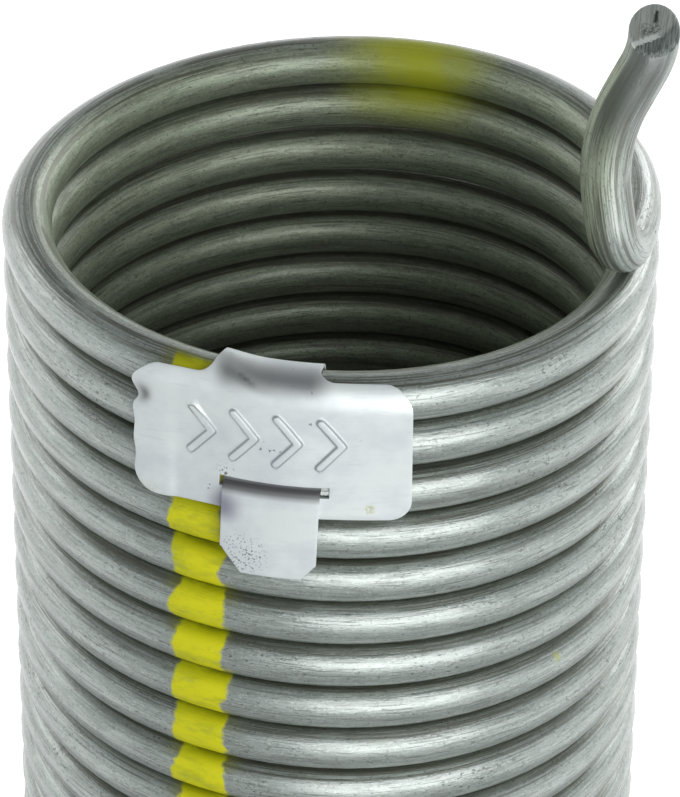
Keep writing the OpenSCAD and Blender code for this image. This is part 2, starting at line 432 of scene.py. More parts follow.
winding = [0.0]
for turn in range(TURNS):
    steps = FINE_STEPS if turn < FINE_TURNS else PLAIN_STEPS
    winding += [2 * math.pi * (turn + (k + 1) / steps) for k in range(steps)]
route = upper_tail[::-1] + [Vector((MEAN_R, 0.0, coil_top))] * len(winding) + lower_tail
route_mesh = bpy.data.meshes.new("wire_route")
route_mesh.from_pydata([tuple(p) for p in route], [(i, i + 1) for i in range(len(route) - 1)], [])
angle_layer = route_mesh.attributes.new("winding", "FLOAT", "POINT")
coil_layer = route_mesh.attributes.new("on_coil", "BOOLEAN", "POINT")
for i, angle in enumerate(winding, start=len(upper_tail)):
    angle_layer.data[i].value = angle
    coil_layer.data[i].value = True
wire_draft = bpy.data.objects.new("wire_draft", route_mesh)
bpy.context.scene.collection.objects.link(wire_draft)
print(len(route), "points along the wire,", len(winding), "of them in the coil")

# %% [markdown]
# ## The rule that winds the coil
#
# Each half turn of the coil is half a ring, tilted so that it falls by half the pitch and runs
# level at both ends, where the next half turn carries on without a kink. One half turn falls a
# little more, which opens the gap that the tag's tongue passes through. A Screw modifier could wind
# an even coil, but not that gap, so the tree works out every point from its winding angle.

# %% Place the coil's points
winder = bpy.data.node_groups.new("wind_the_wire", "GeometryNodeTree")
wire_sizes = {
    "Mean radius": ("Float", MEAN_R),
    "Fall of a half turn": ("Float", FALL / 2),
    "Extra fall": ("Float", SPREAD),
    "Half turn with the extra fall": ("Int", SPREAD_HALF),
    "Coil height": ("Float", coil_top),
    "Wire radius": ("Float", WIRE_D / 2),
    "Sides": ("Int", 24),
    "Finish": ("Material", None),
}


def group_inputs(tree, sizes):
    """Named inputs for a Geometry Nodes tree, and the node that gives them out."""
    tree.interface.new_socket("Geometry", in_out="INPUT", socket_type="NodeSocketGeometry")
    for name, (kind, value) in sizes.items():
        socket = tree.interface.new_socket(name, in_out="INPUT", socket_type="NodeSocket" + kind)
        if kind != "Material":
            socket.default_value = value
    tree.interface.new_socket("Geometry", in_out="OUTPUT", socket_type="NodeSocketGeometry")
    return put(tree, "NodeGroupInput").outputs


def named(tree, name, kind="FLOAT"):
    """A value stored on the points, by its name."""
    node = put(tree, "GeometryNodeInputNamedAttribute", data_type=kind)
    node.inputs["Name"].default_value = name
    return node.outputs["Attribute"]


given = group_inputs(winder, wire_sizes)
angle = named(winder, "winding")
half = calc(winder, "FLOOR", calc(winder, "DIVIDE", angle, math.pi))
here = calc(winder, "COMPARE", half, given["Half turn with the extra fall"], 0.1)
below = calc(winder, "GREATER_THAN", half, given["Half turn with the extra fall"])
fall = total_of(winder, given["Fall of a half turn"], product(winder, here, given["Extra fall"]))
ring_r = calc(winder, "SQRT", total_of(
    winder, calc(winder, "POWER", given["Mean radius"], 2.0),
    calc(winder, "DIVIDE", calc(winder, "POWER", fall, 2.0), 4.0)))
fallen = total_of(winder, product(winder, half, given["Fall of a half turn"]),
                  product(winder, below, given["Extra fall"]))
sway = product(winder, calc(winder, "COSINE", angle),
               calc(winder, "COSINE", product(winder, half, math.pi)))
dip = product(winder, calc(winder, "DIVIDE", fall, 2.0), calc(winder, "SUBTRACT", sway, 1.0))
spot = put(winder, "ShaderNodeCombineXYZ")
feed(winder, spot.inputs["X"], product(winder, given["Mean radius"], calc(winder, "COSINE", angle)))
feed(winder, spot.inputs["Y"], product(winder, ring_r, calc(winder, "SINE", angle)))
feed(winder, spot.inputs["Z"],
     total_of(winder, dip, calc(winder, "SUBTRACT", given["Coil height"], fallen)))
placed = put(winder, "GeometryNodeSetPosition")
feed(winder, placed.inputs["Geometry"], given["Geometry"])
feed(winder, placed.inputs["Selection"], named(winder, "on_coil", "BOOLEAN"))
feed(winder, placed.inputs["Position"], spot.outputs[0])
print(len(winder.nodes), "nodes place the coil's points")

# %% [markdown]
# ## The wire's round section
#
# A round section is swept along the whole route, tails included, so the wire stays one closed
# piece. A curve's own bevel could do that, but the tree can also store how far along and where
# around the wire each point lies, so that drawing marks run lengthwise through every bend.

# %% Sweep the section along the route
def keep_field(tree, geometry, kind, value):
    """Captures a value on a geometry, to read it again after the sweep."""
    node = put(tree, "GeometryNodeCaptureAttribute")
    node.capture_items.new(kind, "Value")
    feed(tree, node.inputs[0], geometry)
    feed(tree, node.inputs[1], value)
    return node.outputs[0], node.outputs[1]


line = put(winder, "GeometryNodeMeshToCurve")
feed(winder, line.inputs["Mesh"], placed.outputs["Geometry"])
section = put(winder, "GeometryNodeCurvePrimitiveCircle")
feed(winder, section.inputs["Resolution"], given["Sides"])
feed(winder, section.inputs["Radius"], given["Wire radius"])
along_line, along = keep_field(winder, line.outputs[0], "FLOAT",
                               put(winder, "GeometryNodeSplineParameter").outputs["Length"])
round_section, around = keep_field(winder, section.outputs[0], "VECTOR",
                                   put(winder, "GeometryNodeInputPosition").outputs[0])
tube = put(winder, "GeometryNodeCurveToMesh")
feed(winder, tube.inputs["Curve"], along_line)
feed(winder, tube.inputs["Profile Curve"], round_section)
tube.inputs["Fill Caps"].default_value = True
around_x, around_y, _ = axes_of(winder, around)
grain = put(winder, "ShaderNodeCombineXYZ")
for socket, value in zip(grain.inputs, (along, around_x, around_y)):
    feed(winder, socket, value)
stored = put(winder, "GeometryNodeStoreNamedAttribute", data_type="FLOAT_VECTOR", domain="POINT")
feed(winder, stored.inputs["Geometry"], tube.outputs[0])
stored.inputs["Name"].default_value = "wire_grain"
feed(winder, stored.inputs["Value"], grain.outputs[0])
smooth = put(winder, "GeometryNodeSetShadeSmooth")
feed(winder, smooth.inputs["Geometry"], stored.outputs[0])
real = put(winder, "GeometryNodeRealizeInstances")
feed(winder, real.inputs[0], smooth.outputs[0])
finish = put(winder, "GeometryNodeSetMaterial")
feed(winder, finish.inputs["Geometry"], real.outputs[0])
feed(winder, finish.inputs["Material"], given["Finish"])
feed(winder, put(winder, "NodeGroupOutput").inputs[0], finish.outputs[0])
print(len(winder.nodes), "nodes in the winding tree")

# %% [markdown]
# ## From the tree to a plain mesh
#
# The export and the later steps need a plain mesh. So the tree's result becomes one, and the draft
# with its modifier goes away.

# %% Wind the wire
def set_input(modifier, name, value):
    """Sets one of the tree's named inputs by its identifier."""
    for item in modifier.node_group.interface.items_tree:
        if item.item_type == "SOCKET" and item.in_out == "INPUT" and item.name == name:
            modifier[item.identifier] = value


def plain_mesh(draft, name):
    """The evaluated draft as a plain mesh in an object of its own."""
    evaluated = draft.evaluated_get(bpy.context.evaluated_depsgraph_get())
    mesh = bpy.data.meshes.new_from_object(evaluated)
    mesh.name = name
    bpy.data.objects.remove(draft)
    piece = bpy.data.objects.new(name, mesh)
    bpy.context.scene.collection.objects.link(piece)
    return piece


wire_finish = bpy.data.materials.new("galvanised_wire")
winding_step = wire_draft.modifiers.new("wind_the_wire", "NODES")
winding_step.node_group = winder
for name, (kind, value) in wire_sizes.items():
    set_input(winding_step, name, wire_finish if kind == "Material" else value)
wire = plain_mesh(wire_draft, "wound_wire")
print("the wound wire has", len(wire.data.polygons), "faces")

# %% [markdown]
# ## The shear's cut
#
# A shear leaves a slanted face with one side rolled over and a sharp burr on the other. A Bevel
# modifier rounds an edge evenly, so the cut's rings are made one by one instead. A slanted plane
# cuts the wire, and rings of faces close the cut, ready to be drawn back.

# %% Cut an end and close the cut
CUT_RINGS = [depth * MM for depth in (0.1, 0.25, 0.5, 0.8, 1.1)]
NEAR_CUT = 12 * MM


def cut_rim(work, tip, facing):
    """Cuts the wire's end off on a plane, and returns the points round the cut in their order."""
    near = [v for v in work.verts if (v.co - tip).length < NEAR_CUT]
    edges = [e for v in near for e in v.link_edges]
    faces = [f for v in near for f in v.link_faces]
    parts = list(dict.fromkeys(near + edges + faces))
    cut = bmesh.ops.bisect_plane(work, geom=parts, plane_co=tip, plane_no=facing,
                                 clear_outer=True, dist=1e-6)
    loop = [e for e in cut["geom_cut"] if isinstance(e, bmesh.types.BMEdge)]
    cap = bmesh.ops.contextual_create(work, geom=loop)["faces"][0]
    rim = list(cap.verts)
    work.faces.remove(cap)
    return rim


def close_cut(work, tip, rim):
    """Closes the cut with rings of faces; returns them and each point's place and inset."""
    flat_place = {v: (v.co.copy(), 0.0) for v in rim}
    faces, outer = [], rim
    for depth in CUT_RINGS:
        shrink = 1 - depth / (WIRE_D / 2)
        ring = [work.verts.new(tip + (v.co - tip) * shrink) for v in rim]
        flat_place.update({v: (v.co.copy(), depth) for v in ring})
        for k in range(len(ring)):
            m = (k + 1) % len(ring)
            faces.append(work.faces.new((outer[k], outer[m], ring[m], ring[k])))
        outer = ring
    faces.append(work.faces.new(outer))
    return faces, flat_place


print("each cut is closed with", len(CUT_RINGS), "rings and a middle")

# %% [markdown]
# ## The rolled edge
#
# Each ring is drawn back along the wire by as much as the rolled edge needs at that place. Its
# radius is 0.15 mm at the burr and up to 0.65 mm on the rolled side. The wire's own skin follows
# over the next 4 mm, so no step shows, and each cut gets a material slot of its own.

# %% Shear the wire's ends
ROLLED_SIDE = math.radians(60.0)
LEAST_ROLL, MORE_ROLL = 0.15, 0.25
CUT_REACH, ROLL_REACH = 8 * MM, 4 * MM


def rolled(to_cut, place):
    """The radius of the rolled edge: largest on one side, smallest at the burr."""
    x, y, _ = to_cut @ place
    return (LEAST_ROLL + MORE_ROLL * (1 + math.cos(math.atan2(y, x) - ROLLED_SIDE))) * MM


def shear_end(work, place, slot):
    """Shears one end of the wire at a place; returns the slanted frame of its cut."""
    tip = place.translation
    slant = place @ turned("Z", SHEAR_TURN) @ turned("Y", SHEAR)
    to_cut = slant.inverted()
    facing = (slant.to_3x3() @ Vector((0.0, 0.0, 1.0))).normalized()
    axis = (place.to_3x3() @ Vector((0.0, 0.0, 1.0))).normalized()
    faces, flat_place = close_cut(work, tip, cut_rim(work, tip, facing))
    for vert in work.verts:
        if (vert.co - tip).length > CUT_REACH:
            continue
        if vert in flat_place:
            spot, inset = flat_place[vert]
            radius = rolled(to_cut, spot)
            short = max(0.0, radius - inset)
            vert.co -= axis * (radius - math.sqrt(radius * radius - short * short))
        else:
            back = (tip - vert.co).dot(facing) / axis.dot(facing)
            if 0.0 < back < ROLL_REACH:
                vert.co -= axis * rolled(to_cut, vert.co + axis * back) * (1 - back / ROLL_REACH)
    for face in faces:
        face.smooth = True
        face.material_index = slot
    return slant


for polygon in wire.data.polygons:
    polygon.material_index = 0
work = bmesh.new()
work.from_mesh(wire.data)
slants = [shear_end(work, tip, slot) for slot, tip in ((1, upper_tip), (2, lower_tip))]
bmesh.ops.recalc_face_normals(work, faces=work.faces)
work.to_mesh(wire.data)
work.free()
cut_finishes = [bpy.data.materials.new("sheared_end_" + end) for end in ("upper", "lower")]
kept_slots = [polygon.material_index for polygon in wire.data.polygons]
wire.data.materials.clear()
for finish in [wire_finish] + cut_finishes:
    wire.data.materials.append(finish)
wire.data.polygons.foreach_set("material_index", kept_slots)
wire.data.calc_loop_triangles()
print("the sheared wire has", len(wire.data.loop_triangles), "triangles")

# %% [markdown]
# ## The wire's zinc
#
# Drawn wire keeps fine marks along its length from the die, and its dull zinc skin is mottled, with
# dark pits and small scuffs. Noise on the object's own place would run straight through the bends,
# so it reads the stored place along and around the wire instead. It is squeezed around the wire and
# stretched along it, and so it follows every bend.

# %% Make the noises of the skin
def noise(tree, where, scale, detail=3.0, roughness=0.5):
    """Cloudy noise from 0 to 1, with its own scale along each axis."""
    stretch = put(tree, "ShaderNodeMapping")
    feed(tree, stretch.inputs["Vector"], where)
    stretch.inputs["Scale"].default_value = scale
    node = put(tree, "ShaderNodeTexNoise")
    feed(tree, node.inputs["Vector"], stretch.outputs["Vector"])
    node.inputs["Scale"].default_value = 1.0
    node.inputs["Detail"].default_value = detail
    node.inputs["Roughness"].default_value = roughness
    return node.outputs["Fac"]


tree, place = clean_tree(wire_finish)
place = place.outputs["Object"]
lengthwise = put(tree, "ShaderNodeAttribute", attribute_type="GEOMETRY")
lengthwise.attribute_name = "wire_grain"
lengthwise = lengthwise.outputs["Vector"]
along_wire, _, around_wire = axes_of(tree, lengthwise)

streaks = noise(tree, lengthwise, (230.0, 1900.0, 1900.0), 5.0, 0.7)
grain = noise(tree, lengthwise, (2300.0, 4600.0, 4600.0), 3.0, 0.7)
long_marks = noise(tree, lengthwise, (16.0, 800.0, 800.0), 4.0, 0.6)
mottle = noise(tree, lengthwise, (190.0, 420.0, 420.0), 5.0, 0.65)
hair_lines = noise(tree, lengthwise, (150.0, 5200.0, 5200.0), 2.0, 0.5)
pepper = noise(tree, lengthwise, (1900.0, 3300.0, 3300.0), 2.0, 0.5)
chips = noise(tree, lengthwise, (1500.0, 2500.0, 2500.0), 4.0, 0.65)
patches = noise(tree, lengthwise, (75.0, 260.0, 260.0), 3.0, 0.6)
dark_line_noise = noise(tree, lengthwise, (22.0, 2600.0, 2600.0), 3.0, 0.6)
print("the skin has nine noises, laid along the wire")

# %% [markdown]
# ## The colour of the zinc
#
# Old zinc is no single grey. One noise could mix a light and a dark one, but the marks have causes
# of their own, so the finish is a stack of tints. Each has a mask from 0 to 1, most often a soft
# step across some noise or some distance, a strength and a colour. Some tints are painted light:
# bright grains that are partly painted glints, and on the tail, about the first 45 mm of the wire,
# a paler tone as painted sheen on its flanks and a painted dark reflection on its side towards the
# lens that ends at about 20 mm.

# %% Mix the zinc
def swing(tree, cloud, size):
    """Noise moved to swing about 0, to half the size on either side."""
    return product(tree, calc(tree, "SUBTRACT", cloud, 0.5), size)


def tint(tree, base, mask, strength, colour, how="MIX"):
    """The base with a colour laid over it where the mask says, at most to a strength."""
    return blend_colours(tree, product(tree, mask, strength), base, colour, how)


on_tail = fade(tree, along_wire, 0.035, 0.055)
# painted dark reflection: a dark band on the tail's side towards the lens, over its first 20 mm
dark_reflection_band = total_of(tree, product(tree, around_wire, -1000.0), swing(tree, long_marks, 5.0))
dark_reflection_band = product(tree, ramp(tree, dark_reflection_band, 1.3, 2.5), fade(tree, along_wire, 0.014, 0.024))
die_marks = product(tree, ramp(tree, hair_lines, 0.50, 0.60), on_tail)
worn_line = product(tree, ramp(tree, hair_lines, 0.56, 0.64), ramp(tree, mottle, 0.38, 0.58))
zinc = blend_colours(tree, ramp(tree, streaks, 0.36, 0.64), (0.245, 0.288, 0.262),
                     (0.40, 0.455, 0.425))
zinc_tints = (
    (ramp(tree, mottle, 0.40, 0.75), 1.0, (0.36, 0.41, 0.39)),        # duller patches
    (ramp(tree, grain, 0.52, 0.70), 0.7, (0.56, 0.625, 0.59)),        # bright grains, partly painted glints
    (ramp(tree, long_marks, 0.55, 0.68), 0.4, (0.13, 0.15, 0.125)),   # long dark marks
    (on_tail, 0.35, (0.62, 0.69, 0.655)),                             # painted sheen: the tail painted paler, for its bright flanks
    (dark_reflection_band, 0.85, (0.055, 0.07, 0.066)),                             # painted dark reflection on the tail's side towards the lens
    (die_marks, 0.6, (0.13, 0.15, 0.14)),                             # its fine die marks
    (ramp(tree, pepper, 0.61, 0.68), 0.55, (0.10, 0.115, 0.10)),      # small pits
    (worn_line, 0.55, (0.08, 0.09, 0.075)),                           # broken hair lines
)
for mask, strength, colour in zinc_tints:
    zinc = tint(tree, zinc, mask, strength, colour)
print("zinc mixed with", len(tree.nodes), "nodes")

# %% [markdown]
# ## The yellow stripe
#
# A spray of yellow paint marks a stripe down the coil's side. It is read from the angle about the
# coil's axis, so it comes out as one straight band over all the turns, with a ragged edge. Its
# yellow is painted darker in the grooves as shade and brighter on the crests, and in the grooves a
# faint haze of spray reaches further.

# %% Spray the stripe
def offset_size(tree, value, middle=0.0):
    """How far a value is from a middle, on either side of it."""
    return calc(tree, "ABSOLUTE", calc(tree, "SUBTRACT", value, middle))


STRIPE_AZIMUTH, CREST_R = 257.0, 39.5


def about_axis(tree, place, azimuth):
    """Millimetres round the coil from an azimuth, millimetres from its axis, and the height."""
    node = put(tree, "ShaderNodeMapping")
    feed(tree, node.inputs["Vector"], place)
    node.inputs["Rotation"].default_value = (0.0, 0.0, math.radians(-azimuth))
    x, y, z = axes_of(tree, node.outputs[0])
    reach = calc(tree, "SQRT", total_of(tree, calc(tree, "POWER", x, 2.0),
                                        calc(tree, "POWER", y, 2.0)))
    arc = product(tree, calc(tree, "ARCTAN2", y, x), CREST_R)
    return arc, product(tree, reach, 1000.0), z


arc, reach, height = about_axis(tree, place, STRIPE_AZIMUTH)
ragged = noise(tree, place, (60.0, 60.0, 260.0), 2.0, 0.5)
fringe = noise(tree, place, (900.0, 900.0, 900.0), 3.0, 0.6)
drift = total_of(tree, swing(tree, ragged, 3.2), swing(tree, fringe, 1.2))
from_middle = total_of(tree, offset_size(tree, arc), drift)
crest = ramp(tree, reach, 37.2, 39.2)
bare = product(tree, ramp(tree, grain, 0.60, 0.70), ramp(tree, crest, 0.7, 1.0),
               ramp(tree, mottle, 0.5, 0.62))
stripe = product(tree, fade(tree, from_middle, 3.1, 3.7), ramp(tree, reach, 36.6, 37.6),
                 without(tree, bare))
# painted shade: the stripe's yellow darkens from the crests into the grooves
yellow = blend_colours(tree, crest, (0.22, 0.24, 0.0), (0.68, 0.67, 0.003))
yellow = blend_colours(tree, ramp(tree, mottle, 0.42, 0.7), yellow, (0.48, 0.50, 0.004))
haze = product(tree, fade(tree, from_middle, 3.4, 6.2), ramp(tree, ragged, 0.46, 0.62),
               fade(tree, reach, 38.6, 39.4), ramp(tree, reach, 36.0, 37.0))
print("stripe", 2 * 3.4, "mm wide at azimuth", STRIPE_AZIMUTH, "degrees")

# %% [markdown]
# ## Overspray, painted shade, dark lines and specks
#
# Some of the spray went across the open coil and settled on the back wall as a mist. Inside the
# coil the zinc is painted darker and browner as shade, the grooves between the turns get painted
# shade, and broken dark lines run along the wire near them. The first turn has no neighbour above
# it, so its groove gets no painted shade. A map painted by hand could hold all this, but distances
# keep it true to the coil. The layers go over the zinc in this order, and the stripe is on top.

# %% Lay the painted shade, dark lines and paint over the zinc
def distance_from(tree, place, x, y, below_top, unit):
    """How far a place is from a point in millimetres, counted in a unit of millimetres."""
    node = put(tree, "ShaderNodeVectorMath", operation="DISTANCE")
    feed(tree, node.inputs[0], place)
    node.inputs[1].default_value = (x * MM, y * MM, coil_top - below_top * MM)
    return product(tree, node.outputs["Value"], 1000.0 / unit)


MIST_AZIMUTH = 82.0
# Specks of paint: x, y, depth below the coil's top and size, in millimetres.
PAINT_SPECKS = ((29.1, -26.8, 7.54, 0.55), (32.4, -22.6, 47.44, 0.8), (14.8, -36.6, 18.34, 0.5))

inside_arc, _, _ = about_axis(tree, place, MIST_AZIMUTH)
cloud = noise(tree, place, (210.0, 210.0, 210.0), 3.0, 0.55)
spread = total_of(tree, offset_size(tree, inside_arc), product(tree, cloud, 11.0))
mist = product(tree, fade(tree, spread, 6.0, 21.0), fade(tree, reach, 36.6, 38.2),
               ramp(tree, height, coil_top - 0.012, coil_top - 0.003))
inner = fade(tree, reach, 34.0, 37.6)
inner_share = product(tree, inner, 0.75)
chipped = product(tree, ramp(tree, chips, 0.575, 0.63), ramp(tree, patches, 0.54, 0.64),
                  without(tree, inner_share))
from_groove = offset_size(tree, reach, 1000 * MEAN_R)
groove_shade = product(tree, fade(tree, from_groove, 0.8, 2.3), ramp(tree, along_wire, 0.24, 0.28))
groove_lines = product(tree, ramp(tree, dark_line_noise, 0.46, 0.56), fade(tree, from_groove, 1.7, 2.8),
                ramp(tree, patches, 0.30, 0.50))
# painted shade: the inside of the coil is darkened and made browner
coated = tint(tree, zinc, inner, 0.8, (0.80, 0.82, 0.60), "MULTIPLY")
coated = tint(tree, coated, chipped, 0.75, (0.055, 0.06, 0.045))
# painted shade: darker between the turns, where each turn meets the next; none on the first turn
coated = tint(tree, coated, groove_shade, 0.9, (0.34, 0.355, 0.28), "MULTIPLY")
# broken dark lines along the wire near the grooves
coated = tint(tree, coated, groove_lines, 0.8, (0.085, 0.09, 0.06))
coated = tint(tree, coated, haze, 0.55, (0.24, 0.26, 0.01))
coated = tint(tree, coated, mist, 0.92, (0.41, 0.45, 0.003))
coated = blend_colours(tree, stripe, coated, yellow)
for x, y, below_top, size in PAINT_SPECKS:
    blot = distance_from(tree, place, x, y, below_top, size)
    blot = fade(tree, total_of(tree, blot, swing(tree, fringe, 2.5)), 0.6, 1.2)
    coated = tint(tree, coated, blot, 0.6, (0.40, 0.42, 0.02))
print("the wire's colour has", len(tree.nodes), "nodes")

# %% [markdown]
# ## The wire's gloss and relief
#
# Zinc on drawn wire shines in two ways: a broad dull sheen from its grain, and a sharper one from
# its smoothed skin. A metallic shader with a clear coat over it gives both. The coat gets a weaker
# relief than the metal, and neither paint nor the inside of the coil has the sharp shine.

# %% Set the wire's gloss and relief
def add_bump(tree, shader, into, height, strength, distance):
    """Relief from a height, on one of a shader's normals."""
    node = put(tree, "ShaderNodeBump")
    node.inputs["Strength"].default_value = strength
    node.inputs["Distance"].default_value = distance
    feed(tree, node.inputs["Height"], height)
    feed(tree, shader.inputs[into], node.outputs[0])


RELIEF_DEPTH = 0.00008

skin = put(tree, "ShaderNodeBsdfPrincipled")
painted = highest(tree, stripe, product(tree, mist, 0.7))
matt = highest(tree, painted, inner_share)
relief = total_of(tree, product(tree, streaks, 0.5), product(tree, grain, 0.7),
                  product(tree, chipped, -0.5), product(tree, worn_line, -0.3))
rough = total_of(tree, 0.25, product(tree, mottle, 0.08), product(tree, grain, 0.16),
                 product(tree, chipped, 0.15), product(tree, inner, 0.12),
                 product(tree, on_tail, 0.16))
feed(tree, skin.inputs["Base Color"], coated)
feed(tree, skin.inputs["Metallic"], product(tree, without(tree, painted), 0.6))
feed(tree, skin.inputs["Roughness"], rough)
feed(tree, skin.inputs["Coat Weight"], product(tree, without(tree, matt), 0.85))
skin.inputs["Coat IOR"].default_value = 1.9
feed(tree, skin.inputs["Coat Roughness"], total_of(tree, 0.15, product(tree, on_tail, 0.2)))
add_bump(tree, skin, "Normal", relief, 0.8, RELIEF_DEPTH)
add_bump(tree, skin, "Coat Normal", relief, 0.4, RELIEF_DEPTH)
feed(tree, put(tree, "ShaderNodeOutputMaterial").inputs["Surface"], skin.outputs[0])
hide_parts("spring_wire")
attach(wire, "root")
print("the wire's finish has", len(tree.nodes), "nodes")

# %% [markdown]
# ## The sheared ends
#
# The shear dragged the zinc down over each cut, so the cut face is nearly as pale as the wire, with
# fine drag lines. It breaks off at the low side in a small dark crack, a rough patch and a bright
# burr, and past that lip the wire's side is painted dark, as painted shade under the lip and the
# painted dark reflection of the tail. The pattern is read in the cut's own axes, which a Mapping
# node gives from the slanted frame: X runs down the cut and Y across it.

# %% Finish the two cuts
def cut_masks(tree, local, crumbs):
    """Masks of the crack, rough patch, burr, low side and far side of the lip, in millimetres."""
    x, y, _ = axes_of(tree, local)
    down, beside = product(tree, x, 1000.0), product(tree, y, 1000.0)
    jagged = swing(tree, crumbs, 1.2)
    slanted = total_of(tree, jagged, total_of(tree, down, product(tree, beside, 0.60)))
    nick = offset_size(tree, total_of(tree, beside, product(tree, jagged, 0.5)))
    return {
        "crack": product(tree, fade(tree, nick, 0.08, 0.42),
                         fade(tree, offset_size(tree, down, -1.7), 0.7, 1.2)),
        "rough": product(tree, fade(tree, offset_size(tree, down, 0.3), 0.5, 1.2),
                         ramp(tree, crumbs, 0.46, 0.55),
                         fade(tree, offset_size(tree, beside, -0.4), 0.7, 1.5)),
        "burr": product(tree, ramp(tree, slanted, 0.75, 1.15), fade(tree, slanted, 1.75, 1.9),
                        fade(tree, total_of(tree, beside, jagged), 0.2, 1.1)),
        "low": ramp(tree, slanted, 0.0, 0.9),
        "past_lip": highest(tree, ramp(tree, slanted, 1.75, 1.95),
                            ramp(tree, total_of(tree, slanted, beside), 2.0, 3.4)),
    }


def finish_cut(finish, slant):
    """Drag lines, a crack, a rough patch and a burr, placed in the cut's own axes."""
    tree, place = clean_tree(finish)
    local = put(tree, "ShaderNodeMapping", vector_type="TEXTURE")
    feed(tree, local.inputs["Vector"], place.outputs["Object"])
    local.inputs["Location"].default_value = slant.translation
    local.inputs["Rotation"].default_value = slant.to_euler()
    local = local.outputs[0]
    drag = noise(tree, local, (250.0, 4200.0, 4200.0), 4.0, 0.65)
    crumbs = noise(tree, local, (2300.0, 2300.0, 2300.0), 4.0, 0.6)
    masks = cut_masks(tree, local, crumbs)
    dragged = ramp(tree, drag, 0.35, 0.65)
    face = blend_colours(tree, dragged, (0.27, 0.30, 0.275), (0.46, 0.50, 0.465))
    face = tint(tree, face, masks["rough"], 0.75, (0.07, 0.075, 0.06))
    face = tint(tree, face, masks["crack"], 0.95, (0.012, 0.014, 0.01))
    face = tint(tree, face, masks["burr"], 0.8, (0.72, 0.78, 0.73))
    # painted shade and painted dark reflection past the lip, matching the tail's dark band
    under = blend_colours(tree, dragged, (0.07, 0.085, 0.08), (0.26, 0.30, 0.28))
    face = tint(tree, face, masks["past_lip"], 0.95, under)
    relief = total_of(tree, product(tree, drag, 0.4), product(tree, crumbs, masks["low"], 0.8),
                      product(tree, masks["crack"], -0.8))
    shine = put(tree, "ShaderNodeBsdfPrincipled")
    feed(tree, shine.inputs["Base Color"], face)
    shine.inputs["Metallic"].default_value = 0.35
    feed(tree, shine.inputs["Roughness"], total_of(tree, 0.38, product(tree, crumbs, 0.25)))
    add_bump(tree, shine, "Normal", relief, 0.8, 0.00015)
    feed(tree, put(tree, "ShaderNodeOutputMaterial").inputs["Surface"], shine.outputs[0])


for finish, slant in zip(cut_finishes, slants):
    finish_cut(finish, slant)
print("two cuts finished, in slots", [f.name for f in wire.data.materials])

# %% [markdown]
# ## The tag
#
# The real tag is cut from thin sheet and folded by hand over the first turns. It could be modelled
# folded, but then each change of size would mean a new shape. It is made as the real one is: drawn
# flat, filled, pressed and folded. These are its sizes. Its tongue slopes out between two turns and
# through the slot, so the slot's place follows from the slope.

# %% Sizes of the tag
SHEET = 0.4 * MM
PLATE_W, PLATE_DROP, CORNER = 33.0 * MM, 14.5 * MM, 2.6 * MM
PLATE_ROLL = math.radians(58.0)          # how far the plate's top edge rolls over the first turn
TONGUE_W, TONGUE_SHIFT, TAB = 11.3 * MM, 0.6 * MM, 11.2 * MM
FOLD_R = 3.5 * MM                        # to the sheet's middle, round the first turn
PLATE_R, INNER_X = MEAN_R + FOLD_R, MEAN_R - FOLD_R
INNER_R, SADDLE_R, TAB_R = 1.0 * MM, 3.25 * MM, 0.8 * MM
TONGUE_Z = -9.41 * MM                    # where the tongue turns outwards, below the first turn
SADDLE_X = MEAN_R + 0.3 * MM
SLOPE_DEGREES = 35.0
SLOPE = math.radians(SLOPE_DEGREES)
TAB_X = PLATE_R + SHEET + 0.1 * MM
SLOT_ABOVE, SLOT_LEFT, SLOT_RIGHT = 0.4 * MM, 0.2 * MM, 1.3 * MM   # the slot's spare room
slope_x = SADDLE_X + SADDLE_R * math.sin(SLOPE)
slope_z = TONGUE_Z - SADDLE_R * (1 - math.cos(SLOPE))
slope_run = (TAB_X - TAB_R * (1 - math.sin(SLOPE)) - slope_x) / math.cos(SLOPE)
tab_z = slope_z - slope_run * math.sin(SLOPE) - TAB_R * math.cos(SLOPE)
slot_top = (slope_z - (PLATE_R - SHEET / 2 - slope_x) * math.tan(SLOPE)
            + SHEET / 2 / math.cos(SLOPE) + SLOT_ABOVE)
slot_bottom = tab_z + 0.1 * TAB_R
print("slot from", round(slot_bottom * 1000, 2), "to", round(slot_top * 1000, 2), "mm")

# %% [markdown]
# ## The fold
#
# Seen from the side the folded sheet is a chain of straight lengths and bends: up the plate, over
# the first turn, down inside, out through the slot and down the tab. Each link is a function from
# the distance along the sheet to a place and the sheet's outward direction, so any point of the
# flat sheet finds its place in the fold.

# %% Follow the fold
def straight(x, z, down_x, down_z, length):
    """A straight length: a function from distance to (x, z, outward x, outward z)."""
    def at(s):
        return x + down_x * s, z + down_z * s, down_z, -down_x
    return length, at


def curl(x, z, radius, start, degrees, inward=False):
    """An arc about (x, z); its outward side faces the centre when inward."""
    span = math.radians(degrees)
    sign = 1.0 if span > 0 else -1.0
    out = -1.0 if inward else 1.0

    def at(s):
        a = math.radians(start) + sign * s / radius
        return (x + radius * math.cos(a), z + radius * math.sin(a),
                out * math.cos(a), out * math.sin(a))
    return abs(span) * radius, at


